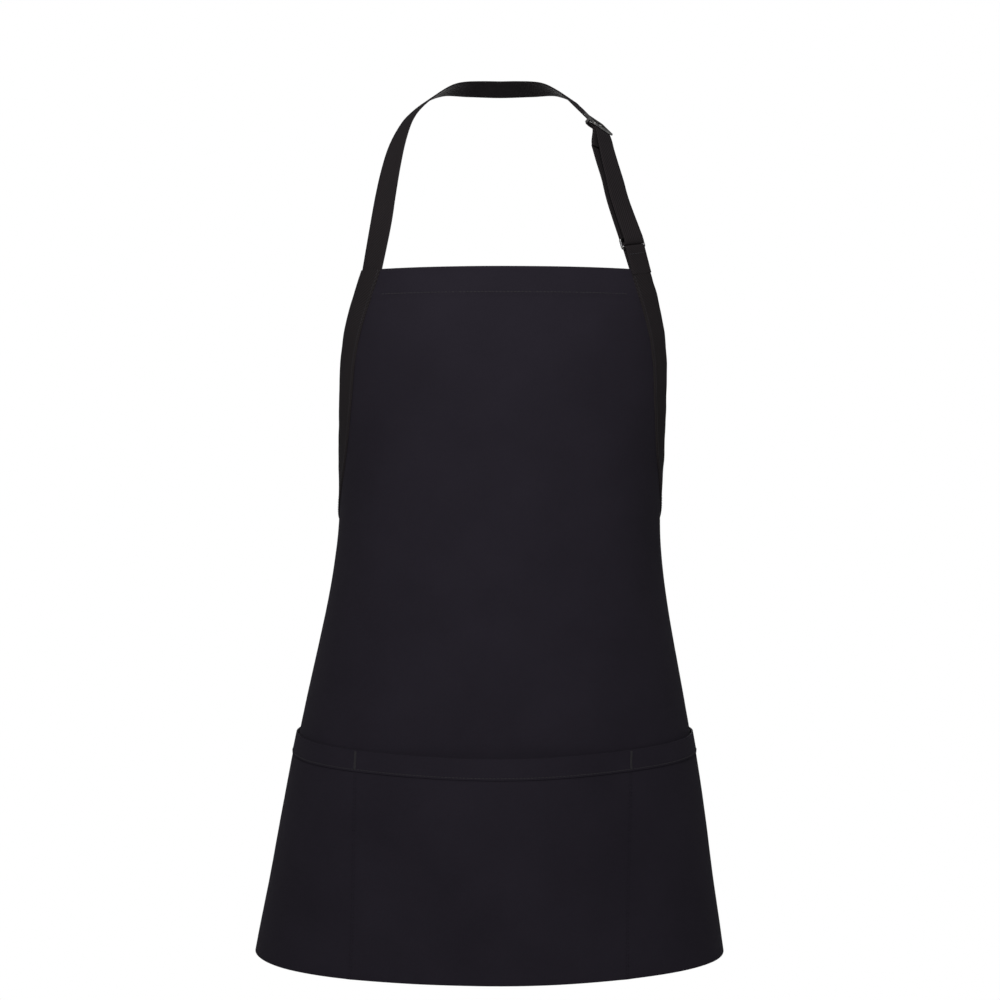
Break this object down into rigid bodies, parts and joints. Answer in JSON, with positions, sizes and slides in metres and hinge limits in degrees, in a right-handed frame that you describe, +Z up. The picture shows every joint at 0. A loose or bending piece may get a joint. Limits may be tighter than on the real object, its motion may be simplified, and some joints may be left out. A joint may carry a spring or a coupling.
{
  "type": "bib apron",
  "caption": "Black three-pocket bib apron hanging as worn, with an adjustable neck strap, metal slide and ring, bound armholes and waist ties tied in a bow.",
  "frame": {"origin": "the nape: the middle of the neck strap at the back of the wearer's neck", "axes": "+Z up, front of the apron faces -Y, +X is the wearer's left"},
  "size_m": [0.4436, 0.2755, 0.8409],
  "materials": {
    "cloth": "black poly-cotton twill",
    "tape": "black poly-cotton tape",
    "metal": "gunmetal plated steel",
    "thread": "black sewing thread"
  },
  "bodies": {
    "apron": {"body_panel": "cloth", "bib_top_hem": "cloth", "side_hem_left": "cloth", "side_hem_right": "cloth", "pocket_panel": "cloth", "pocket_top_hem": "cloth", "armhole_binding_left": "tape", "armhole_binding_right": "tape", "neck_strap": "tape", "strap_return": "tape", "ring_loop": "tape", "waist_tie_left": "tape", "waist_tie_right": "tape", "tie_knot": "tape", "tie_loop_left": "tape", "tie_loop_right": "tape", "tie_tail_left": "tape", "tie_tail_right": "tape", "pocket_divider_stitching": "thread", "pocket_bartacks": "thread"},
    "slide": {"strap_slide": "metal", "strap_end_tab": "tape"},
    "ring": {"strap_ring": "metal"}
  },
  "joints": [
    {"name": "slide_adjust", "type": "slide", "parent": "apron", "child": "slide", "axis": [-0.5169, 0.6028, 0.6078], "range_m": [0, 0.03], "deforming": ["strap_return"]},
    {"name": "ring_rock", "type": "hinge", "parent": "apron", "child": "ring", "pos_m": [0.12409, -0.11757, -0.16423], "axis": [0.7127, 0.6874, 0.1395], "range_deg": [-5, 5]}
  ]
}
